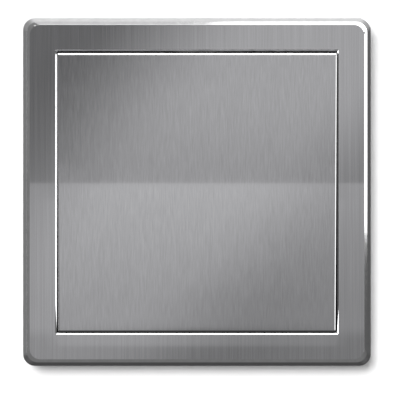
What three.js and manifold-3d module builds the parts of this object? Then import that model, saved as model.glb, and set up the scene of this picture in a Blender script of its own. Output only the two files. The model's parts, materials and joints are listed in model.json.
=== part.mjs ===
// A rocker wall switch: brushed steel cover frame and rocker, flush-mounted insert behind them.
// Everything is laid out on bench axes: x to the right, y up the wall, z out of the wall, millimetres,
// with z = 0 on the wall. The exported group is turned so that +Z is up and the front faces -Y.
import * as THREE from "three";
import { mergeVertices } from "three/addons/utils/BufferGeometryUtils.js";
import Module from "manifold-3d";

const wasm = await Module();
wasm.setup();

// driving dimensions
const degree = Math.PI / 180;
const gap = 0.3; // clearance between neighbouring pieces
const fit = 0.1; // clearance between pieces that are pressed or riveted together

const frameHalf = 40.5;
const frameDepth = 9;
const frameCorner = 2.75;
const frameEdge = 1.5; // width of the rounded outer edge
const frameEdgeDepth = 1.4;
const frameSheet = 1;
const openingHalf = 32.7;
const openingBevel = 0.4;
const flangeEnd = 5; // the opening's flange reaches back to this z

const pivotZ = 5.5;
const rockerTilt = 3.9 * degree; // either side of the middle position; at rest the top stands out
const rockerHalf = 32.1; // at the face
const rockerFaceZ = 5.7; // from the pivot, as every rocker height below
const rockerSkirtEnd = 0.5;
const rockerDraft = 4.5 * degree;
const rockerSheet = 0.7;
const rockerEdge = 0.25;

const ringHalf = 35.5;
const ringBack = 0.3; // pads stand on the wall and the sheet clears it
const ringSheet = 1;
const ringFront = ringBack + ringSheet;
const ringOpeningHalf = 18.2;
const boxScrewRadius = 30; // box screws stand 60 mm apart
const slotWidth = 3.8;
const slotLength = 9;

const baseHalf = 21.5;
const baseWall = 1.8;
const baseBack = -23.5;
const baseFloor = baseBack + baseWall;
const coverHalf = 21.3;
const coverBack = ringFront + gap;
const coverFront = coverBack + 1.4;
const rivetPlace = 19.4;
const rivetRadius = 1;

const leverZ = -13; // fulcrum of the contact lever
const leverTilt = 8.5 * degree;
const tipPlace = 8;
const tipRadius = 1.6;
const strip = 0.8; // thickness of the contact strips
const plungerRadius = 1.9;
const plungerTip = -16.8; // from the rocker's pivot

const clawX = 22.9;
const clawY = 10;
const clawZ = -7;
const clawScrewX = 26.4;

// solids from closed three.js geometries
function solid(geometry) {
  const bare = geometry.clone();
  bare.deleteAttribute("normal");
  bare.deleteAttribute("uv");
  const merged = mergeVertices(bare, 1e-4);
  const corners = merged.index.array;
  const kept = [];
  for (let i = 0; i < corners.length; i += 3) {
    const [a, b, c] = corners.slice(i, i + 3);
    if (a !== b && b !== c && c !== a) kept.push(a, b, c);
  }
  return new wasm.Manifold(
    new wasm.Mesh({
      numProp: 3,
      vertProperties: new Float32Array(merged.attributes.position.array),
      triVerts: new Uint32Array(kept),
    }),
  );
}

function geometryOf(shape) {
  const mesh = shape.getMesh();
  const geometry = new THREE.BufferGeometry();
  geometry.setAttribute("position", new THREE.BufferAttribute(mesh.vertProperties, 3));
  geometry.setIndex(new THREE.BufferAttribute(mesh.triVerts, 1));
  geometry.computeVertexNormals();
  return geometry;
}

// a box between two x, two y and two z values
function block([x0, x1], [y0, y1], [z0, z1]) {
  const box = new THREE.BoxGeometry(x1 - x0, y1 - y0, z1 - z0);
  box.translate((x0 + x1) / 2, (y0 + y1) / 2, (z0 + z1) / 2);
  return solid(box);
}

// the same on both sides of a centre line
const about = (centre, half) => [centre - half, centre + half];

// a square block whose sides slope from one half width to another
function slopedBlock(halfBack, halfFront, [z0, z1]) {
  const pyramid = new THREE.CylinderGeometry(halfFront * Math.SQRT2, halfBack * Math.SQRT2, z1 - z0, 4);
  pyramid.rotateY(Math.PI / 4);
  pyramid.rotateX(Math.PI / 2);
  pyramid.translate(0, 0, (z0 + z1) / 2);
  return solid(pyramid);
}

function roundedOutline(half, radius) {
  const centre = half - radius;
  const outline = new THREE.Shape();
  outline.moveTo(half, -centre);
  outline.absarc(centre, centre, radius, 0, Math.PI / 2);
  outline.absarc(-centre, centre, radius, Math.PI / 2, Math.PI);
  outline.absarc(-centre, -centre, radius, Math.PI, 1.5 * Math.PI);
  outline.absarc(centre, -centre, radius, 1.5 * Math.PI, 2 * Math.PI);
  return outline;
}

function plate(outline, [z0, z1], curveSegments = 5) {
  const extruded = new THREE.ExtrudeGeometry(outline, { depth: z1 - z0, bevelEnabled: false, curveSegments });
  extruded.translate(0, 0, z0);
  return solid(extruded);
}

// round bar along z, or along x or y
function bar(radius, [start, end], x = 0, y = 0, sides = 16) {
  const round = new THREE.CylinderGeometry(radius, radius, end - start, sides);
  round.rotateX(Math.PI / 2);
  round.translate(x, y, (start + end) / 2);
  return solid(round);
}

function barAlongX(radius, [start, end], y, z, sides = 16) {
  const round = new THREE.CylinderGeometry(radius, radius, end - start, sides);
  round.rotateZ(Math.PI / 2);
  round.translate((start + end) / 2, y, z);
  return solid(round);
}

function barAlongY(radius, [start, end], x, z, sides = 16) {
  const round = new THREE.CylinderGeometry(radius, radius, end - start, sides);
  round.translate(x, (start + end) / 2, z);
  return solid(round);
}

// an outline drawn in x and z, given thickness along y
function profileAlongY(points, [y0, y1]) {
  const outline = new THREE.Shape(points.map(([x, z]) => new THREE.Vector2(x, z)));
  const extruded = new THREE.ExtrudeGeometry(outline, { depth: y1 - y0, bevelEnabled: false });
  extruded.rotateX(Math.PI / 2);
  extruded.translate(0, y1, 0);
  return solid(extruded);
}

const joined = (parts) => parts.reduce((whole, part) => whole.add(part));
const corners = [[-1, -1], [-1, 1], [1, -1], [1, 1]];

// materials
const finish = (color, roughness, metalness) => () =>
  new THREE.MeshStandardMaterial({ color, roughness, metalness });
const brushedSteel = finish(0x9b9b9e, 0.35, 1);
const zincSteel = finish(0xb4b6b8, 0.45, 1);
const brass = finish(0xb99a55, 0.4, 1);
const silver = finish(0xd8d8d6, 0.3, 1);
const springSteel = finish(0x8a8c90, 0.3, 1);
const greyPlastic = finish(0x4a4c50, 0.6, 0);
const whitePlastic = finish(0xe4e2dc, 0.55, 0);
const orangePlastic = finish(0xd06a2a, 0.55, 0);

const rest = new THREE.Group();
const rocker = new THREE.Group();
rocker.position.z = pivotZ;
rocker.rotation.x = rockerTilt;
const lever = new THREE.Group();
lever.position.z = leverZ;
lever.rotation.x = -leverTilt;

function place(group, name, shape, material, position = [0, 0, 0]) {
  const mesh = new THREE.Mesh(geometryOf(shape), material());
  mesh.name = name;
  mesh.position.set(...position);
  group.add(mesh);
}

// cover frame: a pressed steel shell with a rounded outer edge and a bevelled square opening
function coverFrame() {
  const behind = 2; // stock behind the wall plane, cut away below
  const body = new THREE.ExtrudeGeometry(roundedOutline(frameHalf, frameCorner), {
    depth: frameDepth - frameEdgeDepth + behind,
    bevelThickness: frameEdgeDepth,
    bevelSize: frameEdge,
    bevelOffset: -frameEdge,
    bevelSegments: 3,
    curveSegments: 5,
  });
  body.translate(0, 0, -behind);
  const front = frameDepth - frameSheet;
  const flangeHalf = openingHalf + frameSheet;
  const hollow = plate(roundedOutline(frameHalf - frameSheet, frameCorner - frameSheet), [-behind, front])
    .subtract(block(about(0, flangeHalf), about(0, flangeHalf), [flangeEnd, frameDepth]));
  const bevelled = slopedBlock(openingHalf, openingHalf + 2 * openingBevel,
    about(frameDepth, openingBevel));
  return solid(body)
    .subtract(block(about(0, frameHalf + behind), about(0, frameHalf + behind), [-2 * behind, 0]))
    .subtract(hollow)
    .subtract(block(about(0, openingHalf), about(0, openingHalf), [-behind, frameDepth + behind]))
    .subtract(bevelled);
}

// plastic carrier inside the cover frame, with tongues that spring into the support ring's notches
const tongueX = [34.3, 35.1];
const tongueY = 15;
const tongueHalf = 2.5;

function frameCarrier() {
  const wallHalf = frameHalf - frameSheet - gap;
  const webHalf = openingHalf + frameSheet + gap;
  const webBack = 6.2;
  const front = frameDepth - frameSheet - gap;
  const carrierWall = 2;
  const outer = plate(roundedOutline(wallHalf, frameCorner - frameSheet), [gap, front]);
  const innerHalf = wallHalf - carrierWall;
  const tongues = corners.map(([sideX, sideY]) =>
    block(
      tongueX.map((x) => sideX * x).sort((a, b) => a - b),
      about(sideY * tongueY, tongueHalf),
      [gap + 0.1, webBack + 0.5],
    ));
  const ribs = [-20, 20].flatMap((along) => [-1, 1].flatMap((side) => {
    const across = [side * (webHalf + 1.5), side * (innerHalf + 0.5)].sort((a, b) => a - b);
    const deep = [3, webBack + 0.5];
    return [block(across, about(along, 0.6), deep), block(about(along, 0.6), across, deep)];
  }));
  return outer
    .subtract(block(about(0, innerHalf), about(0, innerHalf), [-1, webBack]))
    .subtract(block(about(0, webHalf), about(0, webHalf), [-1, frameDepth]))
    .add(joined([...tongues, ...ribs]));
}

// steel rocker cap: flat face, small edge bevel and drafted sides
function rockerFace() {
  const sideDepth = rockerFaceZ - rockerSkirtEnd;
  const baseHalfWidth = rockerHalf + sideDepth * Math.tan(rockerDraft);
  const shoulder = rockerFaceZ - rockerEdge;
  const shoulderHalf = rockerHalf + rockerEdge * Math.tan(rockerDraft);
  const skirt = slopedBlock(baseHalfWidth, shoulderHalf, [rockerSkirtEnd, shoulder]);
  const edge = slopedBlock(shoulderHalf, shoulderHalf - rockerEdge, [shoulder, rockerFaceZ]);
  const hollow = slopedBlock(
    baseHalfWidth - rockerSheet + Math.tan(rockerDraft),
    rockerHalf - rockerSheet,
    [rockerSkirtEnd - 1, rockerFaceZ - rockerSheet],
  );
  return skirt.add(edge).subtract(hollow);
}

// plastic rocker body under the cap: plate, rim, ribs and four catches over the cradle
const cradleX = 12.5;
const cradleY = 13;
const cradleTop = 2.4;
const cradleBack = 0.6;

function rockerBody() {
  const half = rockerHalf - rockerSheet - 0.4;
  const back = cradleTop + 3 * gap;
  const front = rockerFaceZ - rockerSheet - 0.2;
  const rimBack = 1.5;
  const rimWall = 1.4;
  const panel = block(about(0, half), about(0, half), [back, front]);
  const rim = block(about(0, half), about(0, half), [rimBack, back])
    .subtract(block(about(0, half - rimWall), about(0, half - rimWall), [rimBack - 1, back]));
  const ribs = [-1, 1].flatMap((side) => [
    block(about(side * 22, 0.6), about(0, half - 1), [rimBack + 0.5, back + 0.5]),
    block(about(0, half - 1), about(side * 22, 0.6), [rimBack + 0.5, back + 0.5]),
  ]);
  const catches = corners.flatMap(([sideX, sideY]) => {
    const along = about(sideY * 9, 2.5);
    const arm = [sideX * (cradleX + gap), sideX * (cradleX + gap + 1.4)].sort((a, b) => a - b);
    const hook = [sideX * (cradleX - 0.7), sideX * (cradleX + gap + 1)].sort((a, b) => a - b);
    return [
      block(arm, along, [cradleBack - gap - 0.6, back + 0.5]),
      block(hook, along, [cradleBack - gap - 0.6, cradleBack - gap]),
    ];
  });
  return joined([panel, rim, ...ribs, ...catches]);
}

// cradle: the insert's own rocker, with trunnions at the pivot and a sleeve for the plunger
const trunnionRadius = 1.5;
const sleeveRadius = 3.3;
const sleeveEnd = -9.5;
const boreTop = -0.6;

function cradle() {
  const deck = block(about(0, cradleX), about(0, cradleY), [cradleBack, cradleTop]);
  const windows = [-1, 1].map((side) => block(about(0, 8), about(side * 8.6, 2.4), [0, 3]));
  const cheeks = [-1, 1].map((side) =>
    block([side * 10.3, side * cradleX].sort((a, b) => a - b), about(0, 3.5), [-1.8, cradleBack + 0.2]));
  const trunnions = barAlongX(trunnionRadius, about(0, 15.9), 0, 0)
    .subtract(block(about(0, 10.4), about(0, 3), about(0, 3)));
  const sleeve = bar(sleeveRadius, [sleeveEnd, cradleBack + 0.2]);
  return deck
    .subtract(joined(windows))
    .add(joined([...cheeks, trunnions, sleeve]))
    .subtract(bar(plungerRadius + gap, [sleeveEnd - 1, boreTop]));
}

const plungerTail = -6;

function plunger() {
  const shoulder = plungerTip + 1.6;
  const profile = [
    [0, plungerTip],
    [0.9, plungerTip + 0.15],
    [1.6, plungerTip + 0.75],
    [plungerRadius, shoulder],
    [plungerRadius, plungerTail],
    [0, plungerTail],
  ].map(([r, z]) => new THREE.Vector2(r, z));
  const turned = new THREE.LatheGeometry(profile, 16);
  turned.rotateX(Math.PI / 2);
  return solid(turned);
}

// helical spring between the plunger's tail and the end of its bore
class Helix extends THREE.Curve {
  constructor(radius, start, end, turns) {
    super();
    Object.assign(this, { radius, start, end, turns });
  }

  getPoint(t, target = new THREE.Vector3()) {
    const angle = 2 * Math.PI * this.turns * t;
    const z = this.start + (this.end - this.start) * t;
    return target.set(this.radius * Math.cos(angle), this.radius * Math.sin(angle), z);
  }
}

function plungerSpring() {
  const wire = 0.25;
  const turns = 5;
  const section = new THREE.Shape();
  section.absarc(0, 0, wire, 0, 2 * Math.PI);
  const coil = new Helix(1.6, plungerTail + gap + wire, boreTop - gap - wire, turns);
  return solid(new THREE.ExtrudeGeometry(section, {
    extrudePath: coil,
    steps: turns * 14,
    curveSegments: 6,
    bevelEnabled: false,
  }));
}

// support ring: sheet steel on four wall pads, with box screw slots and their raised seats
function supportRing() {
  const sheet = plate(roundedOutline(ringHalf, 3), [ringBack, ringFront]);
  const wallPads = corners.map(([x, y]) => block(about(28 * x, 4), about(28 * y, 4), [0, ringBack + 0.1]));
  const seatHalf = 6.5;
  const seatAcross = 2.9;
  const seats = [-1, 1].flatMap((side) => [
    block(about(side * boxScrewRadius, seatAcross), about(0, seatHalf), [ringFront - 0.1, ringFront + gap]),
    block(about(0, seatHalf), about(side * boxScrewRadius, seatAcross), [ringFront - 0.1, ringFront + gap]),
  ]);
  const through = [-1, ringFront + 1];
  const slots = [-1, 1].flatMap((side) => [
    block(about(side * boxScrewRadius, slotWidth / 2), about(0, slotLength / 2), through),
    block(about(0, slotLength / 2), about(side * boxScrewRadius, slotWidth / 2), through),
  ]);
  const notches = corners.map(([x, y]) =>
    block(about(x * ringHalf, ringHalf - tongueX[0] + gap), about(y * tongueY, tongueHalf + gap), through));
  const rivetHoles = corners.map(([x, y]) =>
    bar(rivetRadius + gap, through, x * rivetPlace, y * rivetPlace, 10));
  const screwHoles = [-1, 1].map((side) => bar(1.8, through, side * clawScrewX, -side * clawY, 12));
  return joined([sheet, ...wallPads, ...seats])
    .subtract(plate(roundedOutline(ringOpeningHalf, 1), through))
    .subtract(joined([...slots, ...notches, ...rivetHoles, ...screwHoles]));
}

// base of the insert: an open-fronted box with partitions, wire entries and claw bearings
const terminals = [
  { name: "common", side: -1, y: 0, stripBack: -15.2 },
  { name: "upper", side: 1, y: 8.6, stripBack: -16.4 },
  { name: "lower", side: 1, y: -8.6, stripBack: -16.4 },
];
const railX = [15.4, 16.2];
const leverX = [9.9, 11.9];
const leverHalf = 3;
const entryX = 13.9;
const entryRadius = 1.35;
const entrySpacing = 2.2;
const springHalf = 3.8;
const sided = (side, [near, far]) => (side > 0 ? [near, far] : [-far, -near]);

function switchBase() {
  const inside = baseHalf - baseWall;
  const shell = plate(roundedOutline(baseHalf, 1.5), [baseBack, 0], 3)
    .subtract(block(about(0, inside), about(0, inside), [baseFloor, 1]));
  const pillars = corners.map(([x, y]) =>
    block(about(x * (inside - 0.7), 1.8), about(y * (inside - 0.7), 1.8), [baseFloor - 0.5, 0]));
  const partitions = [
    block(sided(-1, [7.2, 8.4]), about(0, inside + 0.5), [baseFloor - 0.5, terminals[0].stripBack - gap]),
    block(sided(1, [7.2, 8.4]), about(0, inside + 0.5), [baseFloor - 0.5, terminals[1].stripBack - gap]),
  ];
  const bearings = [-1, 1].flatMap((side) => [-1, 1].map((end) =>
    block(
      sided(side, [baseHalf - 0.5, clawX + 1.6]),
      about(-side * clawY + end * 5.9, 0.7),
      about(clawZ, 1.7),
    )));
  const pinHoles = [-1, 1].map((side) => barAlongY(0.8, about(-side * clawY, 8), side * clawX, clawZ, 10));
  const rivetHoles = corners.map(([x, y]) =>
    bar(rivetRadius + gap, [-4.5, 1], x * rivetPlace, y * rivetPlace, 10));
  const entries = terminals.flatMap(({ side, y }) => [-1, 1].map((row) =>
    bar(entryRadius, [baseBack - 1, baseFloor + 1], side * entryX, y + row * entrySpacing, 12)));
  const leverHoles = terminals.map(({ side, y }) =>
    block(
      sided(side, [leverX[0] - gap, leverX[1] + gap]),
      about(y, leverHalf + gap),
      [baseBack - 1, baseFloor + 1],
    ));
  return joined([shell, ...pillars, ...partitions, ...bearings])
    .subtract(joined([...pinHoles, ...rivetHoles, ...entries, ...leverHoles]));
}

// front cover of the insert: closes the base, traps the support ring and carries the cradle's bearings
function baseCover() {
  const panel = plate(roundedOutline(coverHalf, 1.5), [coverBack, coverFront], 3);
  const bearings = [-1, 1].map((side) =>
    block(sided(side, [13, 15.6]), about(0, 3.2), [coverFront - 0.5, pivotZ + 2.4]));
  const legs = corners.map(([x, y]) =>
    block(sided(x, [16, 17.4]), about(y * 12, 2.5), [-5, coverBack + 0.5]));
  const stiffeners = [-1, 1].map((side) =>
    block(about(0, 12), about(side * 17, 0.7), [coverFront - 0.5, coverFront + 0.8]));
  const sleeveWindow = block(about(0, 4.7), about(0, 5.2), [0, pivotZ]);
  const bore = barAlongX(trunnionRadius + 0.2, about(0, 17), 0, pivotZ);
  const rivetHoles = corners.map(([x, y]) =>
    bar(rivetRadius + gap, [0, pivotZ], x * rivetPlace, y * rivetPlace, 10));
  return joined([panel, ...bearings, ...legs, ...stiffeners])
    .subtract(sleeveWindow)
    .subtract(bore)
    .subtract(joined(rivetHoles));
}

function rivet() {
  const head = bar(1.7, [coverFront + fit, coverFront + fit + 0.7], 0, 0, 12);
  return bar(rivetRadius, [-4, coverFront + 0.5], 0, 0, 12).add(head);
}

// contacts: a flat strip from the switching point to its terminal, ending in a rail for the wires
function fixedContact({ side, y, stripBack }, stripStart, stripHalf) {
  const stripZ = [stripBack, stripBack + strip];
  return joined([
    block(sided(side, [stripStart, railX[1]]), about(y, stripHalf), stripZ),
    block(sided(side, railX), about(y, 4), [baseFloor + gap, stripZ[1]]),
  ]);
}

function commonContact() {
  const top = terminals[0].stripBack + strip;
  const ridge = new THREE.CylinderGeometry(0.2, 1.2, leverZ - 0.1 - top + 0.1, 4);
  ridge.rotateY(Math.PI / 4);
  ridge.rotateX(Math.PI / 2);
  ridge.scale(3, 1, 1);
  ridge.translate(0, 0, (leverZ - 0.1 + top - 0.1) / 2);
  return fixedContact(terminals[0], -3.5, 2.2).add(solid(ridge));
}

function contactTip(z) {
  return bar(tipRadius, z, 0, 0, 14);
}

// lever of the moving contact, from its fulcrum
function contactLever() {
  const back = 0.6;
  const arms = block(about(0, 2.4), about(0, 9.6), [back, back + strip]);
  const middle = block(about(0, 3.4), about(0, 3), [back, back + strip]);
  const ears = [-1, 1].map((side) =>
    block(sided(side, [2.6, 3.4]), about(0, 1.6), [-0.6, back + 0.2]));
  return joined([arms, middle, ...ears]);
}

// clamp spring: a V of flat spring steel whose free leg presses the wire against the rail
function clampSpring(side) {
  const leaf = 0.4;
  const outline = [
    [9.3, -17], [9.3, -20.9], [9.6, -21.2], [10.1, -21.1], [14.9, -17.9],
    [14.7, -17.6], [9.9, -20.7], [9.3 + leaf, -20.6], [9.3 + leaf, -17],
  ].map(([x, z]) => [side * x, z]);
  return profileAlongY(side > 0 ? outline : outline.reverse(), about(0, springHalf));
}

// release button: pushed in from the back to lift the clamp spring off the wire
function releaseButton(side) {
  const wide = leverX[1] - leverX[0];
  const stem = block(sided(side, leverX), about(0, leverHalf), [baseBack - 1.4, baseFloor + 0.2]);
  const nose = block(sided(side, [leverX[0] + 0.3, leverX[0] + wide / 2]), about(0, leverHalf),
    [baseFloor, baseFloor + 0.6]);
  return stem.add(nose);
}

// claw: a bell crank on a pin; its tab is drawn forward by the screw and its toothed foot swings out
function claw() {
  const half = 4.6;
  const thick = 0.6;
  const barrel = barAlongY(1.25, about(0, half), 0, 0, 12);
  const leg = block([-thick, thick], about(0, half - 0.6), [-12.4, 0]);
  const toe = [[-thick, -12.4], [3.4, -13], [3.4, -12.6], [thick, -11.2]];
  const foot = profileAlongY(toe, about(0, half - 0.6));
  const tab = block([0, 7.4], about(0, 3.2), about(0, thick));
  const notches = [-1.4, 1.4].map((y) => block([1.9, 4], about(y, 0.5), [-14, -11]));
  const slot = block([1.6, 5.9], about(0, 1.7), [-2, 2]);
  return joined([barrel, leg, foot, tab])
    .subtract(joined(notches))
    .subtract(slot)
    .subtract(barAlongY(0.9, about(0, half + 1), 0, 0, 10));
}

function clawScrew() {
  const head = bar(2.4, [ringFront + fit, ringFront + 2.1], 0, 0, 18);
  const driverSlot = block(about(0, 0.35), about(0, 3), [ringFront + 1.1, ringFront + 3]);
  return bar(1.25, [-10, ringFront + 0.5], 0, 0, 14).add(head).subtract(driverSlot);
}

place(rest, "cover_frame", coverFrame(), brushedSteel);
place(rest, "frame_carrier", frameCarrier(), greyPlastic);
place(rest, "support_ring", supportRing(), zincSteel);
place(rest, "switch_base", switchBase(), whitePlastic);
place(rest, "base_cover", baseCover(), whitePlastic);

place(rocker, "rocker_face", rockerFace(), brushedSteel);
place(rocker, "rocker_body", rockerBody(), greyPlastic);
place(rocker, "cradle", cradle(), greyPlastic);
place(rocker, "plunger", plunger(), whitePlastic);
place(rocker, "plunger_spring", plungerSpring(), springSteel);

place(lever, "contact_lever", contactLever(), brass);
for (const [name, side] of [["upper", 1], ["lower", -1]]) {
  place(lever, `${name}_moving_tip`, contactTip([-0.2, 0.55]), silver, [0, side * tipPlace, 0]);
  place(rest, `${name}_fixed_tip`, contactTip([-15.55, -14.75]), silver, [0, side * tipPlace, 0]);
}

place(rest, "common_contact", commonContact(), brass);
place(rest, "upper_contact", fixedContact(terminals[1], -3, 3), brass);
place(rest, "lower_contact", fixedContact(terminals[2], -3, 3), brass);
for (const { name, side, y } of terminals) {
  place(rest, `${name}_clamp_spring`, clampSpring(side), springSteel, [0, y, 0]);
  place(rest, `${name}_release_button`, releaseButton(side), orangePlastic, [0, y, 0]);
}

for (const [name, side] of [["left", -1], ["right", 1]]) {
  const shaped = side > 0 ? claw() : claw().mirror([1, 0, 0]);
  place(rest, `${name}_claw`, shaped, zincSteel, [side * clawX, -side * clawY, clawZ]);
  place(rest, `${name}_claw_pin`, barAlongY(0.7, about(0, 7), 0, 0, 12), zincSteel,
    [side * clawX, -side * clawY, clawZ]);
  place(rest, `${name}_claw_screw`, clawScrew(), zincSteel, [side * clawScrewX, -side * clawY, 0]);
}

const rivetNames = ["lower_left", "upper_left", "lower_right", "upper_right"];
corners.forEach(([x, y], i) => {
  place(rest, `${rivetNames[i]}_rivet`, rivet(), zincSteel, [x * rivetPlace, y * rivetPlace, 0]);
});

const rockerSwitch = new THREE.Group();
rockerSwitch.add(rest, rocker, lever);
rockerSwitch.rotation.x = Math.PI / 2;

export default rockerSwitch;
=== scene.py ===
import json
from math import cos, pi, radians, sin, tan
import bmesh
import bpy
from mathutils import Matrix, Vector


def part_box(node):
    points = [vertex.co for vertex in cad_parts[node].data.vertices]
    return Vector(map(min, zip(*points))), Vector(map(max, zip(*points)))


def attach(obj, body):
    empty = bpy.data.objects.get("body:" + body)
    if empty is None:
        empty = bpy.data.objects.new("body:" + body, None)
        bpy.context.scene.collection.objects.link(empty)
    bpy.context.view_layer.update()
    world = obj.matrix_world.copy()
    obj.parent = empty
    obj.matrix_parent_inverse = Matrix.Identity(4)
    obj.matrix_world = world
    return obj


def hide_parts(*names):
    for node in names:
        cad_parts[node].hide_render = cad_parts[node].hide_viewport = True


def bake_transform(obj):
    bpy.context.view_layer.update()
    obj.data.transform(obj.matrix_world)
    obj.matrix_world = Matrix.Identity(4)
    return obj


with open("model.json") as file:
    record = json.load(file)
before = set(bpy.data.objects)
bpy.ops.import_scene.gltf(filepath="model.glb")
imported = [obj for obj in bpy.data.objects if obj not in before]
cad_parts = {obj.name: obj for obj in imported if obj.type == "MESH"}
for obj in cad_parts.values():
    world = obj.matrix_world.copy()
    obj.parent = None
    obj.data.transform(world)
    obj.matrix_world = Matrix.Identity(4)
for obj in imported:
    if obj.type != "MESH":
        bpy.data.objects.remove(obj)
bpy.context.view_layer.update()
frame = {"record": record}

mm = 0.001
record = frame["record"]


class Wire:
    # an output of a node tree; + - * and / on it add Math nodes
    def __init__(self, tree, socket):
        self.tree = tree
        self.socket = socket

    def maths(self, operation, first, second):
        return self.tree.node("ShaderNodeMath", {"operation": operation}, {0: first, 1: second})

    def __add__(self, other):
        return self.maths("ADD", self, other)

    def __radd__(self, other):
        return self.maths("ADD", other, self)

    def __sub__(self, other):
        return self.maths("SUBTRACT", self, other)

    def __rsub__(self, other):
        return self.maths("SUBTRACT", other, self)

    def __mul__(self, other):
        return self.maths("MULTIPLY", self, other)

    def __rmul__(self, other):
        return self.maths("MULTIPLY", other, self)

    def __truediv__(self, other):
        return self.maths("DIVIDE", self, other)

    def __rtruediv__(self, other):
        return self.maths("DIVIDE", other, self)


class Shading:
    # the node tree of a material or of the world
    def __init__(self, owner):
        owner.use_nodes = True
        self.tree = owner.node_tree
        self.tree.nodes.clear()

    def node(self, kind, settings=None, sockets=None, out=0):
        # settings come first because some of them change which sockets there are
        made = self.tree.nodes.new(kind)
        for key, value in (settings or {}).items():
            setattr(made, key, value)
        for key, value in (sockets or {}).items():
            if isinstance(value, Wire):
                self.tree.links.new(value.socket, made.inputs[key])
            else:
                made.inputs[key].default_value = value
        return Wire(self, made.outputs[out]) if len(made.outputs) else made

    def place(self):
        return self.node("ShaderNodeTexCoord", out="Object")

    def parts(self, vector):
        split = self.node("ShaderNodeSeparateXYZ", {}, {0: vector}).socket.node
        return [Wire(self, output) for output in split.outputs]

    def size(self, value):
        return self.node("ShaderNodeMath", {"operation": "ABSOLUTE"}, {0: value})

    def stretched(self, where, scale):
        return self.node("ShaderNodeVectorMath", {"operation": "MULTIPLY"}, {0: where, 1: scale})

    def noise(self, where, scale, detail, roughness):
        return self.node("ShaderNodeTexNoise", {}, {
            "Vector": where, "Scale": scale, "Detail": detail, "Roughness": roughness})

    def ranged(self, value, fromLow, fromHigh, toLow, toHigh, smooth=False):
        kind = "SMOOTHSTEP" if smooth else "LINEAR"
        return self.node("ShaderNodeMapRange", {"interpolation_type": kind}, {
            "Value": value, "From Min": fromLow, "From Max": fromHigh, "To Min": toLow, "To Max": toHigh})

    def mixed(self, amount, first, second):
        return self.node("ShaderNodeMix", {"data_type": "RGBA"}, {0: amount, 6: first, 7: second}, out=2)

    def bump(self, height, strength, distance):
        return self.node("ShaderNodeBump", {}, {
            "Height": height, "Strength": strength, "Distance": distance})

    def surface(self, sockets):
        bsdf = self.node("ShaderNodeBsdfPrincipled", {}, sockets)
        self.node("ShaderNodeOutputMaterial", {}, {"Surface": bsdf})


def grey(level, tint=0.0):
    return (level, level, level * (1 + tint), 1)


# noise keeps near a half, so it is spread from one of these ranges
wholeNoise = (0.3, 0.7)
middleNoise = (0.35, 0.65)
upperNoise = (0.35, 0.7)


def startMaterial(name):
    material = bpy.data.materials.new(name)
    shade = Shading(material)
    return material, shade, shade.place()


frontSteel = {
    "colour": 0.555, "blue": 0.036, "streakColour": 0.1, "roughness": 0.15, "streakRoughness": 0.04,
    "anisotropy": 0.95, "grainDepth": 0.004 * mm, "grainBump": 0.35,
    "coatRoughness": 0.02, "coatIor": 2.1,
    # here and below a noise is its scale, detail and roughness, and a small stretch makes long streaks
    "fine": {"noise": (3800, 2, 0.6), "stretch": (1, 1, 0.009), "share": 0.82},
    "medium": {"noise": (1500, 2, 0.5), "stretch": (1, 1, 0.014), "share": 0.14},
    "broad": {"noise": (240, 2, 0.5), "stretch": (1, 1, 0.05), "share": 0.04},
    "handling": (55, 3, 0.55), "handlingRoughness": 0.02,
}


def brushedFrontSteel():
    # the grain runs up the plate
    look = frontSteel
    material, shade, where = startMaterial("brushedFrontSteel")

    def strokes(size):
        return shade.noise(shade.stretched(where, size["stretch"]), *size["noise"]) * size["share"]

    grain = strokes(look["fine"]) + strokes(look["medium"]) + strokes(look["broad"])
    handling = shade.noise(where, *look["handling"])
    spread = shade.ranged(grain, *wholeNoise, -1, 1)
    level = spread * look["streakColour"] + 1
    # half way from black to twice the colour is the colour itself, so this is the colour times level
    tone = shade.mixed(level * 0.5, grey(0.0), grey(look["colour"] * 2, look["blue"]))
    dulled = shade.ranged(handling, *upperNoise, 0, look["handlingRoughness"])
    shade.surface({
        "Base Color": tone, "Metallic": 1.0,
        "Roughness": spread * look["streakRoughness"] + look["roughness"] + dulled,
        "Anisotropic": look["anisotropy"],
        "Coat Weight": 1.0, "Coat Roughness": look["coatRoughness"], "Coat IOR": look["coatIor"],
        "Normal": shade.bump(grain, look["grainBump"], look["grainDepth"]),
    })
    return material


edgePolish = {
    "dull": 0.57, "bright": 0.61, "blue": 0.01, "wear": (700, 3, 0.6), "roughness": (0.06, 0.1),
    "lines": (3000, 2, 0.5), "stretch": (1, 1, 0.1), "bump": 0.1, "depth": 0.0006 * mm,
}


def polishedEdgeSteel():
    # the pressed and cut edges are brighter and smoother than the brushed flats
    look = edgePolish
    material, shade, where = startMaterial("polishedEdgeSteel")
    wear = shade.noise(where, *look["wear"])
    lines = shade.noise(shade.stretched(where, look["stretch"]), *look["lines"])
    dull, bright = grey(look["dull"], look["blue"]), grey(look["bright"], look["blue"])
    shade.surface({
        "Base Color": shade.mixed(shade.ranged(wear, *middleNoise, 0, 1), dull, bright), "Metallic": 1.0,
        "Roughness": shade.ranged(wear, *wholeNoise, *look["roughness"]),
        "Normal": shade.bump(lines, look["bump"], look["depth"]),
    })
    return material


zincPlate = {
    "clouds": (260, 4, 0.6), "cloudShare": 0.6, "rolling": (900, 3, 0.6), "stretch": (1, 1, 0.08),
    "pits": (4200, 2, 0.5), "pitShare": 0.4, "bump": 0.3, "depth": 0.02 * mm,
    "dull": 0.86, "smoother": 0.06, "rougher": 0.08,
}


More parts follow.
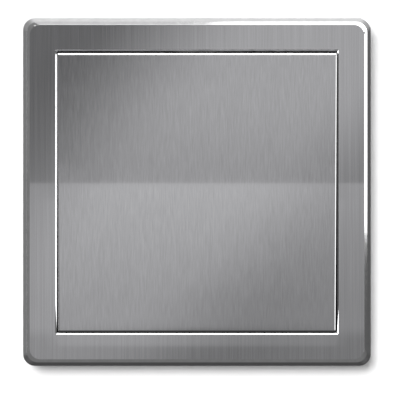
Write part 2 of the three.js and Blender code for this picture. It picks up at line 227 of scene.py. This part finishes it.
def platedSheet(name, colour, roughness, tint=0.02):
    # zinc plated sheet: cloudy crystals and rolling marks
    look = zincPlate
    material, shade, where = startMaterial(name)
    clouds = shade.noise(where, *look["clouds"])
    rolled = shade.noise(shade.stretched(where, look["stretch"]), *look["rolling"])
    pits = shade.noise(where, *look["pits"])
    mask = clouds * look["cloudShare"] + rolled * (1 - look["cloudShare"])
    dull, bright = grey(colour * look["dull"], tint), grey(colour, tint)
    relief = pits * look["pitShare"] + rolled * (1 - look["pitShare"])
    rough = (roughness - look["smoother"], roughness + look["rougher"])
    shade.surface({
        "Base Color": shade.mixed(shade.ranged(mask, *middleNoise, 0, 1), dull, bright), "Metallic": 1.0,
        "Roughness": shade.ranged(mask, *wholeNoise, *rough),
        "Normal": shade.bump(relief, look["bump"], look["depth"]),
    })
    return material


stampedStrip = {
    "lines": (2600, 2, 0.5), "stretch": (0.08, 1, 1), "bump": 0.3, "depth": 0.01 * mm,
    "tarnish": (420, 4, 0.6), "dark": 0.72, "smoother": 0.05, "rougher": 0.1,
}


def drawnMetal(name, colour, roughness):
    # stamped strip and drawn wire: faint lines and tarnish
    look = stampedStrip
    material, shade, where = startMaterial(name)
    lines = shade.noise(shade.stretched(where, look["stretch"]), *look["lines"])
    tarnish = shade.noise(where, *look["tarnish"])
    dark = tuple(look["dark"] * part for part in colour) + (1,)
    rough = (roughness - look["smoother"], roughness + look["rougher"])
    shade.surface({
        "Base Color": shade.mixed(shade.ranged(tarnish, *upperNoise, 0, 1), colour + (1,), dark),
        "Metallic": 1.0,
        "Roughness": shade.ranged(tarnish, *wholeNoise, *rough),
        "Normal": shade.bump(lines, look["bump"], look["depth"]),
    })
    return material


mouldTexture = {
    "pores": (3600, 3, 0.65), "bump": 0.25, "depth": 0.03 * mm,
    "flow": (90, 2, 0.5), "pale": 1.06, "deep": 0.93, "eitherWay": 0.07, "specular": 0.45,
}


def mouldedPlastic(name, colour, roughness):
    # spark-eroded mould texture with faint flow shading
    look = mouldTexture
    material, shade, where = startMaterial(name)
    pores = shade.noise(where, *look["pores"])
    flow = shade.noise(where, *look["flow"])
    pale = tuple(min(1, look["pale"] * part) for part in colour) + (1,)
    deep = tuple(look["deep"] * part for part in colour) + (1,)
    rough = (roughness - look["eitherWay"], roughness + look["eitherWay"])
    shade.surface({
        "Base Color": shade.mixed(shade.ranged(flow, *middleNoise, 0, 1), deep, pale),
        "Roughness": shade.ranged(pores, *wholeNoise, *rough),
        "Specular IOR Level": look["specular"],
        "Normal": shade.bump(pores, look["bump"], look["depth"]),
    })
    return material


finishes = {
    "front_steel": brushedFrontSteel(),
    "zinc_steel": platedSheet("zincSheet", 0.68, 0.36),
    "spring_steel": drawnMetal("springSteel", (0.5, 0.51, 0.52), 0.28),
    "brass": drawnMetal("brassStrip", (0.74, 0.56, 0.26), 0.3),
    "contact_silver": drawnMetal("silverTip", (0.82, 0.81, 0.79), 0.25),
    "grey_plastic": mouldedPlastic("greyPlastic", (0.055, 0.058, 0.062), 0.55),
    "white_plastic": mouldedPlastic("whitePlastic", (0.76, 0.75, 0.71), 0.45),
    "orange_plastic": mouldedPlastic("orangePlastic", (0.62, 0.13, 0.02), 0.42),
}
edgeSteel = polishedEdgeSteel()
# darker steel for the rocker's upper and lower walls and its downward-turned lower edge: painted shade of
# the gap
gapShadeSteel = drawnMetal("paintedShadeSheetEdge", (0.22, 0.22, 0.225), 0.4)
# nearly black steel for the frame's opening and inside walls: painted shadow of the gap and the hollow
gapShadowSteel = drawnMetal("paintedShadowSheetInside", (0.035, 0.035, 0.036), 0.45)
slotOf = {part["node"]: part["material_slot"] for part in record["subparts"]}
print("materials made:", len(finishes))


def meshPiece(name, bm, material, smoothAngle=35):
    # edges sharper than smoothAngle, in degrees, stay sharp
    bmesh.ops.recalc_face_normals(bm, faces=bm.faces)
    mesh = bpy.data.meshes.new(name)
    bm.to_mesh(mesh)
    bm.free()
    mesh.shade_smooth()
    mesh.set_sharp_from_angle(angle=radians(smoothAngle))
    mesh.materials.append(material)
    piece = bpy.data.objects.new(name, mesh)
    bpy.context.scene.collection.objects.link(piece)
    flats = piece.modifiers.new("flatFaces", "WEIGHTED_NORMAL")
    flats.keep_sharp = True
    return piece


# how a face's normal sorts it: flat front, wall, and on the rocker the faces that line the gap
faceRules = {"flat": 0.985, "wall": 0.12, "gapAcross": 0.7, "gapDown": -0.1}


def isWall(normal):
    return abs(normal.y) < faceRules["wall"]


def isGapWall(normal):
    # the rocker's upper and lower walls, and its lower edge, which turns into the gap
    turnsDown = normal.z < faceRules["gapDown"]
    return abs(normal.x) < faceRules["gapAcross"] and (isWall(normal) or turnsDown)


def polishEdges(piece, gapShade, inGapShade, brushedBeyond):
    # bevels are polished, the faces that the test picks take the darker steel given, which is painted shade
    # of the gap, and walls beyond brushedBeyond stay brushed
    piece.data.materials.append(edgeSteel)
    piece.data.materials.append(gapShade)
    for face in piece.data.polygons:
        outward = max(abs(face.center.x), abs(face.center.z))
        brushedWall = isWall(face.normal) and outward > brushedBeyond
        if abs(face.normal.y) > faceRules["flat"] or brushedWall:
            continue
        face.material_index = 2 if inGapShade(face.normal) else 1


def squareRing(half, radius, arcSteps):
    # points round a square with rounded corners
    centre = half - radius
    ring = []
    for quarter in range(4):
        middle = pi / 4 + quarter * pi / 2
        across = Vector((cos(middle), sin(middle))) * centre * 2 ** 0.5
        for step in range(arcSteps + 1):
            angle = (quarter + step / arcSteps) * pi / 2
            ring.append(across + radius * Vector((cos(angle), sin(angle))))
    return ring


sideShare = 0.49      # a fillet takes at most this share of either side


def roundedProfile(corners, steps=4):
    # corners are (half width, height, corner radius in plan, fillet radius); fillets become short arcs
    count = len(corners)
    profile = []
    for i, (half, height, plan, fillet) in enumerate(corners):
        here = Vector((half, height))
        before = Vector(corners[i - 1][:2]) - here
        after = Vector(corners[(i + 1) % count][:2]) - here
        if fillet == 0:
            profile.append((half, height, plan))
            continue
        turn = pi - before.angle(after)
        reach = min(fillet * tan(turn / 2), before.length * sideShare, after.length * sideShare)
        start = here + before.normalized() * reach
        end = here + after.normalized() * reach
        for step in range(steps + 1):
            t = step / steps
            point = start * (1 - t) ** 2 + here * 2 * t * (1 - t) + end * t ** 2
            profile.append((point.x, point.y, plan))
    return profile


def loft(bm, profile, arcSteps, closed):
    rings = []
    for half, height, plan in profile:
        outline = squareRing(half, plan, arcSteps)
        rings.append([bm.verts.new((p.x * mm, -height * mm, p.y * mm)) for p in outline])
    pairs = list(zip(rings, rings[1:] + rings[:1])) if closed else list(zip(rings, rings[1:]))
    for low, high in pairs:
        for i in range(len(low)):
            j = (i + 1) % len(low)
            bm.faces.new((low[i], low[j], high[j], high[i]))
    return rings


# pressed shell with a two-step outer edge and a shallow bevel at the opening, in millimetres
coverFrame = {
    "half": 40.5, "corner": 2.75, "height": 9.0, "sheet": 1.0, "footFillet": 0.15,
    "steepStart": 7.4, "steepStartFillet": 0.6,
    "steepEnd": (39.57, 8.65), "steepCorner": 2.6, "steepEndFillet": 0.08,
    "shallowEnd": 38.84, "shallowCorner": 2.45, "shallowEndFillet": 0.1,
    "openingFace": 33.1, "openingWall": 32.72, "openingCorner": 0.16, "bevelDepth": 0.285,
    "bevelFillet": 0.06, "wallFillet": 0.08,
    "flangeEnd": 5.0, "flangeCorner": 0.5, "flangeFillet": 0.2,
    "openingReach": 36.0, "openingSqueeze": 0.994,    # the opening is a little narrower than it is high
    "arcSteps": 12,
}


def makeCoverFrame():
    p = coverFrame
    inner = p["half"] - p["sheet"]
    innerCorner = p["corner"] - p["sheet"]
    under = p["height"] - p["sheet"]
    bevelEnd = p["height"] - p["bevelDepth"]
    flange = p["openingWall"] + p["sheet"]
    corners = [
        (p["half"], 0, p["corner"], p["footFillet"]),
        (p["half"], p["steepStart"], p["corner"], p["steepStartFillet"]),
        (*p["steepEnd"], p["steepCorner"], p["steepEndFillet"]),
        (p["shallowEnd"], p["height"], p["shallowCorner"], p["shallowEndFillet"]),
        (p["openingFace"], p["height"], p["openingCorner"], p["bevelFillet"]),
        (p["openingWall"], bevelEnd, p["openingCorner"], p["wallFillet"]),
        (p["openingWall"], p["flangeEnd"], p["openingCorner"], p["flangeFillet"]),
        (flange, p["flangeEnd"], p["flangeCorner"], p["flangeFillet"]),
        (flange, under, p["flangeCorner"], 0),
        (inner, under, innerCorner, 0),
        (inner, 0, innerCorner, p["footFillet"]),
    ]
    bm = bmesh.new()
    loft(bm, roundedProfile(corners), p["arcSteps"], closed=True)
    for vert in bm.verts:
        if abs(vert.co.x) < p["openingReach"] * mm:
            vert.co.x *= p["openingSqueeze"]
    piece = meshPiece("coverFrameShell", bm, finishes["front_steel"])
    # the opening's walls and the shell's inside walls take the nearly black steel: painted shadow in the
    # gap and the hollow
    polishEdges(piece, gapShadowSteel, isWall, (p["half"] - 0.5 * p["sheet"]) * mm)
    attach(piece, "insert")
    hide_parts("cover_frame")


# flat face, soft edge and drafted sides, tilted as it rests, in millimetres
rockerCap = {
    "faceHalf": 32.32, "faceHeight": 5.69, "skirtEnd": 0.5, "draft": radians(2.2), "sheet": 0.7,
    "edgeWidth": 0.3, "edgeDepth": 0.11, "faceFillet": 0.25, "shoulderFillet": 0.12,
    "skirtFillet": 0.15, "insideFillet": 0.1, "corner": 0.2, "skirtCorner": 0.3,
    "border": 1.2,        # ring of faces between the flat face and its edge
    "arcSteps": 6, "restTilt": radians(3.9), "squeeze": (0.9965, 1, 0.997), "lift": 0.1,
}


def makeRockerCap():
    p = rockerCap
    base = p["faceHalf"] + (p["faceHeight"] - p["skirtEnd"]) * tan(p["draft"])
    shoulder = p["faceHalf"] + p["edgeDepth"] * tan(p["draft"])
    face = p["faceHalf"] - p["edgeWidth"]
    inside = p["faceHalf"] - p["sheet"]
    under = p["faceHeight"] - p["sheet"]
    corners = [
        (inside - p["border"], under, p["corner"], 0),
        (inside, under, p["corner"], 0),
        (base - p["sheet"], p["skirtEnd"], p["corner"], p["insideFillet"]),
        (base, p["skirtEnd"], p["skirtCorner"], p["skirtFillet"]),
        (shoulder, p["faceHeight"] - p["edgeDepth"], p["corner"], p["shoulderFillet"]),
        (face, p["faceHeight"], p["corner"], p["faceFillet"]),
        (face - p["border"], p["faceHeight"], p["corner"], 0),
    ]
    bm = bmesh.new()
    rings = loft(bm, roundedProfile(corners), p["arcSteps"], closed=False)
    bm.faces.new(rings[0])
    bm.faces.new(rings[-1])
    joints = {joint["name"]: joint for joint in record["behaviour"]["joints"]}
    turn = Matrix.Translation(joints["rocker_tilt"]["pos_m"]) @ Matrix.Rotation(p["restTilt"], 4, "X")
    turn @= Matrix.Translation((0, 0, p["lift"] * mm)) @ Matrix.Diagonal((*p["squeeze"], 1))
    bmesh.ops.transform(bm, matrix=turn, verts=bm.verts)
    piece = meshPiece("rockerCapShell", bm, finishes["front_steel"])
    # the rocker's upper and lower walls and its downward-turned lower edge take the darker steel: painted
    # shade of the gap
    polishEdges(piece, gapShadeSteel, isGapWall, p["faceHalf"] * 2 * mm)
    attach(piece, "rocker")
    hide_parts("rocker_face")


makeCoverFrame()
makeRockerCap()
print("front made")

# springs that give, listed with the body at the front end and the one at the back end of each; here each is
# copied as it stands
givingSprings = {
    "plunger_spring": ("rocker", "plunger"),
    "common_clamp_spring": ("insert", "common_release_button"),
    "upper_clamp_spring": ("insert", "upper_release_button"),
    "lower_clamp_spring": ("insert", "lower_release_button"),
}

# every other piece keeps its CAD shape, with a softened edge
remadeNodes = {"cover_frame", "rocker_face", *givingSprings}
softEdge = {"width": 0.12 * mm, "segments": 2, "angle": radians(40)}


def finishNodes():
    for node, slot in slotOf.items():
        piece = bpy.data.objects[node]
        for materialSlot in piece.material_slots:
            materialSlot.material = finishes[slot]
        if not piece.material_slots:
            piece.data.materials.append(finishes[slot])
        if node in remadeNodes:
            continue
        bevel = piece.modifiers.new("softEdge", "BEVEL")
        bevel.width = softEdge["width"]
        bevel.segments = softEdge["segments"]
        bevel.limit_method = "ANGLE"
        bevel.angle_limit = softEdge["angle"]
        bevel.harden_normals = False


def makeGivingSprings():
    for node, bodies in givingSprings.items():
        held = bpy.data.objects[node]
        piece = bpy.data.objects.new(node + "_giving", held.data.copy())
        piece.matrix_world = held.matrix_world
        bpy.context.scene.collection.objects.link(piece)
        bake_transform(piece)
        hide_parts(node)


finishNodes()
makeGivingSprings()
print("CAD nodes finished:", len(slotOf))

# the frame fills widthShare of the view, measured at widthHeight off the wall
camera = {
    "distance": 0.473, "widthShare": 0.86975, "widthHeight": 7.6 * mm,
    "shift": (0.007625, -0.019875), "sensor": 36.0, "clip": (0.01, 20),
}


def makeCamera():
    p = camera
    data = bpy.data.cameras.new("camera")
    data.sensor_width = p["sensor"]
    low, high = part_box("cover_frame")
    standoff = p["distance"] + coverFrame["height"] * mm
    data.lens = p["sensor"] * p["widthShare"] * (standoff - p["widthHeight"]) / (high[0] - low[0])
    data.shift_x, data.shift_y = p["shift"]
    data.clip_start, data.clip_end = p["clip"]
    seat = bpy.data.objects.new("camera", data)
    seat.location = (0, -standoff, 0)
    seat.rotation_euler = (pi / 2, 0, 0)
    bpy.context.scene.collection.objects.link(seat)
    bpy.context.scene.camera = seat


makeCamera()
print("camera placed")


def stagePlane(name, size, material, matrix, unseenBy):
    bm = bmesh.new()
    corners = [(-1, -1), (1, -1), (1, 1), (-1, 1)]
    bm.faces.new([bm.verts.new((x * size / 2, y * size / 2, 0)) for x, y in corners])
    mesh = bpy.data.meshes.new(name)
    bm.to_mesh(mesh)
    bm.free()
    mesh.materials.append(material)
    plane = bpy.data.objects.new(name, mesh)
    plane.matrix_world = matrix
    for ray in unseenBy:
        setattr(plane, f"visible_{ray}", False)
    bpy.context.scene.collection.objects.link(plane)


def facingRoom(y):
    # a plane at this depth whose front looks along -Y
    return Matrix.Translation((0, y, 0)) @ Matrix.Rotation(pi / 2, 4, "X")


room = {
    "wallSize": 3, "wallDepth": 0.05 * mm, "paint": 0.8,
    "floorSize": 4, "floorHeight": -0.6, "floorRoughness": 0.7,
}


def wallPaint():
    # white paint that is only there from the room's side
    material = bpy.data.materials.new("wallPaint")
    shade = Shading(material)
    paint = shade.node("ShaderNodeBsdfDiffuse", {}, {"Color": grey(room["paint"])})
    clear = shade.node("ShaderNodeBsdfTransparent")
    behind = shade.node("ShaderNodeNewGeometry", out="Backfacing")
    sided = shade.node("ShaderNodeMixShader", {}, {0: behind, 1: paint, 2: clear})
    shade.node("ShaderNodeOutputMaterial", {}, {"Surface": sided})
    return material


def floorPaint():
    material = bpy.data.materials.new("floorPaint")
    Shading(material).surface({"Base Color": grey(room["paint"]), "Roughness": room["floorRoughness"]})
    return material


def makeRoom():
    stagePlane("wall", room["wallSize"], wallPaint(), facingRoom(room["wallDepth"]),
               ("diffuse", "glossy", "transmission", "shadow"))
    stagePlane("floor", room["floorSize"], floorPaint(),
               Matrix.Translation((0, 0, room["floorHeight"])), ("glossy",))


# a shaded card close in front that only the gloss sees. Its shading is laid out for the front view and
# slides in others. Distance, size and fade are millimetres on the card; the other places are
# millimetres on the plate, where the front view sees the card's pattern spread times smaller
glossCard = {
    "distance": 32.0, "size": 102.0, "fade": 6.0, "spread": 1.066, "steelShare": 0.61, "bright": 0.35,
    "upperLeft": {"slope": 0.8, "reach": (-57, -15), "dark": 0.235},
    "lowerRight": {"slope": 0.9, "reach": (9, 41), "dark": 0.115, "far": (44, 63), "farLift": 0.025},
    "horizon": 2.1, "horizonBlur": 0.06, "step": 0.095, "stepEnd": -25.0,
    "duskStart": 24, "dusk": 0.85, "belowLift": 0.05,
    "foot": (-31, -34.5), "footDark": 0.06,
    # the part that the tilted rocker mirrors is shifted into line with the part that the frame mirrors;
    # the shift and these limits, which fade over their span, are millimetres on the card
    "rockerShift": 4.1, "rockerSide": (34.2, 35.2), "rockerTop": (31.5, 33.5), "rockerFoot": (-38.8, -38.0),
}


def cardLight():
    # two darker corners, one level edge across the middle and a darker foot
    p = glossCard
    material, shade, where = startMaterial("glossCard")
    across, upward = shade.parts(shade.stretched(where, (1 / mm,) * 3))[:2]
    side = shade.size(across)
    height = shade.size(upward)
    overRocker = (shade.ranged(side, *p["rockerSide"], 1, 0)
                  * shade.ranged(upward, *p["rockerTop"], 1, 0)
                  * shade.ranged(upward, *p["rockerFoot"], 0, 1))
    x = across / p["spread"]
    z = (upward + overRocker * p["rockerShift"]) / p["spread"]
    left, right = p["upperLeft"], p["lowerRight"]
    upperLeft = shade.ranged(x - z * left["slope"], *left["reach"], left["dark"], 0, smooth=True)
    diagonal = x - z * right["slope"]
    lowerRight = (shade.ranged(diagonal, *right["reach"], 0, right["dark"], smooth=True)
                  - shade.ranged(diagonal, *right["far"], 0, right["farLift"], smooth=True))
    blur = p["horizonBlur"]
    below = shade.ranged(z, p["horizon"] + blur, p["horizon"] - blur, 0, 1)
    dusk = shade.ranged(z, p["duskStart"], p["horizon"], 1, p["dusk"], smooth=True) + below * p["belowLift"]
    gloss = shade.ranged(z, p["horizon"], p["stepEnd"], p["step"], 0) * below
    foot = shade.ranged(z, *p["foot"], 0, p["footDark"], smooth=True)
    level = ((p["bright"] - upperLeft - lowerRight) * dusk + gloss - foot) / p["steelShare"]
    reach = p["size"] / 2
    edge = (shade.ranged(side, reach - p["fade"], reach, 1, 0, smooth=True)
            * shade.ranged(height, reach - p["fade"], reach, 1, 0, smooth=True))
    glow = shade.node("ShaderNodeEmission", {}, {"Color": level})
    clear = shade.node("ShaderNodeBsdfTransparent")
    both = shade.node("ShaderNodeMixShader", {}, {0: edge, 1: clear, 2: glow})
    shade.node("ShaderNodeOutputMaterial", {}, {"Surface": both})
    return material


def makeGlossCard():
    away = (coverFrame["height"] + glossCard["distance"]) * mm
    stagePlane("glossCard", glossCard["size"] * mm, cardLight(), facingRoom(-away),
               ("camera", "diffuse", "transmission", "shadow"))


plate = (0, 0, 0)
key = {"strength": 3.3, "angle": radians(22), "from": (-0.22, -1, 0.27)}
# soft boxes and strips: place, the point each looks at, size and brightness. All but the fill show
# only in gloss
softBoxes = {
    "rightBox": {"at": (0.488, -0.326, 0.213), "to": plate, "size": (0.09, 0.5), "bright": 3.0},
    "rightEdge": {"at": (0.413, -0.408, -0.03), "to": plate, "size": (0.08, 0.24), "bright": 1.9},
    "cornerBox": {"at": (0.285, -0.326, 0.285), "to": plate, "size": (0.3, 0.3), "bright": 3.0},
    "topBox": {"at": (0.26, -0.327, 0.479), "to": (0.26, 0, 0), "size": (0.5, 0.09), "bright": 3.0},
    "topLeft": {"at": (-0.2, -0.327, 0.479), "to": (-0.2, 0, 0), "size": (0.42, 0.09), "bright": 0.65},
    "topEdge": {"at": (0, -0.455, 0.353), "to": plate, "size": (0.5, 0.11), "bright": 3.0},
    "topStrip": {"at": (0, -0.047, 0.062), "to": (0, -0.047, 0), "size": (0.09, 0.026), "bright": 4.0},
    "leftStrip": {"at": (-0.304, -0.138, 0), "to": plate, "size": (0.03, 0.3), "bright": 4.0},
    "backFill": {"at": (0.5, 0.7, 0.5), "to": plate, "size": (0.5, 0.5), "bright": 6.0, "fills": True},
}


def hangLamp(name, data, looks):
    lamp = bpy.data.objects.new(name, data)
    lamp.rotation_euler = looks.to_track_quat("-Z", "Y").to_euler()
    bpy.context.scene.collection.objects.link(lamp)
    return lamp


def makeLights():
    sun = bpy.data.lights.new("key", "SUN")
    sun.energy = key["strength"]
    sun.angle = key["angle"]
    hangLamp("key", sun, -Vector(key["from"])).visible_glossy = False
    for name, box in softBoxes.items():
        data = bpy.data.lights.new(name, "AREA")
        data.shape = "RECTANGLE"
        data.size, data.size_y = box["size"]
        data.energy = box["bright"] * pi * data.size * data.size_y
        lamp = hangLamp(name, data, Vector(box["to"]) - Vector(box["at"]))
        lamp.location = box["at"]
        lamp.visible_camera = False
        lamp.visible_diffuse = box.get("fills", False)


# light from each side of the room, and the spans of direction over which one side fades to the next
sky = {
    "left": 0.3, "right": 0.15, "frontUp": 0.4, "backUp": 1.2, "frontDown": 0.26, "backDown": 0.1,
    "backStarts": (0, 0.2), "below": (-0.55, -0.05), "above": (0.05, 0.95),
    "leftShade": (-0.75, -0.2), "leftShare": 0.4, "paper": 1.0,
}


def makeSky():
    p = sky
    world = bpy.data.worlds.new("studio")
    bpy.context.scene.world = world
    shade = Shading(world)
    across, away, upward = shade.parts(shade.node("ShaderNodeTexCoord", out="Generated"))
    level = shade.ranged(across, -1, 1, p["left"], p["right"])
    ground = shade.ranged(away, *p["backStarts"], p["frontDown"], p["backDown"])
    low = shade.ranged(upward, *p["below"], 1, 0, smooth=True) * (ground - level)
    peak = shade.ranged(away, *p["backStarts"], p["frontUp"], p["backUp"])
    shaded = shade.ranged(across, *p["leftShade"], p["leftShare"], 1)
    high = shade.ranged(upward, *p["above"], 0, 1) * shaded * (peak - level)
    glow = shade.node("ShaderNodeBackground", {}, {"Color": level + low + high})
    paper = shade.node("ShaderNodeBackground", {}, {"Color": grey(p["paper"])})
    seen = shade.node("ShaderNodeLightPath", out="Is Camera Ray")
    both = shade.node("ShaderNodeMixShader", {}, {0: seen, 1: glow, 2: paper})
    shade.node("ShaderNodeOutputWorld", {}, {"Surface": both})


makeRoom()
makeGlossCard()
makeLights()
makeSky()
bpy.context.scene.view_settings.view_transform = "Standard"
print("room and light made")
